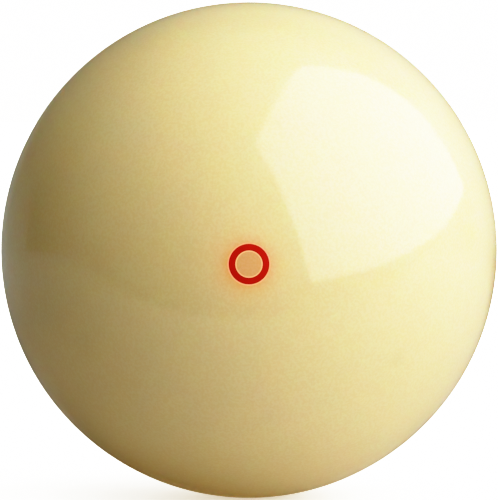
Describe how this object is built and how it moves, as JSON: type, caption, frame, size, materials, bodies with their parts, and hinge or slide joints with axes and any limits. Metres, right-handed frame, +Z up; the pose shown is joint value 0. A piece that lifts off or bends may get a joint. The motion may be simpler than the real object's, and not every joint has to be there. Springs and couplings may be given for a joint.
{
  "type": "cue ball",
  "caption": "Solid polished ivory-coloured pool cue ball with a small red ring mark let into its front, for striking with a cue.",
  "frame": {"origin": "the centre of the ball", "axes": "-Y out through the middle of the ring mark, +Z up, +X to the right of the ring seen from outside"},
  "size_m": [0.0572, 0.0572, 0.0572],
  "materials": {
    "ball_resin": "polished",
    "ring_resin": "polished",
    "core_resin": "polished"
  },
  "bodies": {
    "root": {"ball_body": "ball_resin", "red_ring": "ring_resin", "ring_core": "core_resin"}
  },
  "joints": []
}
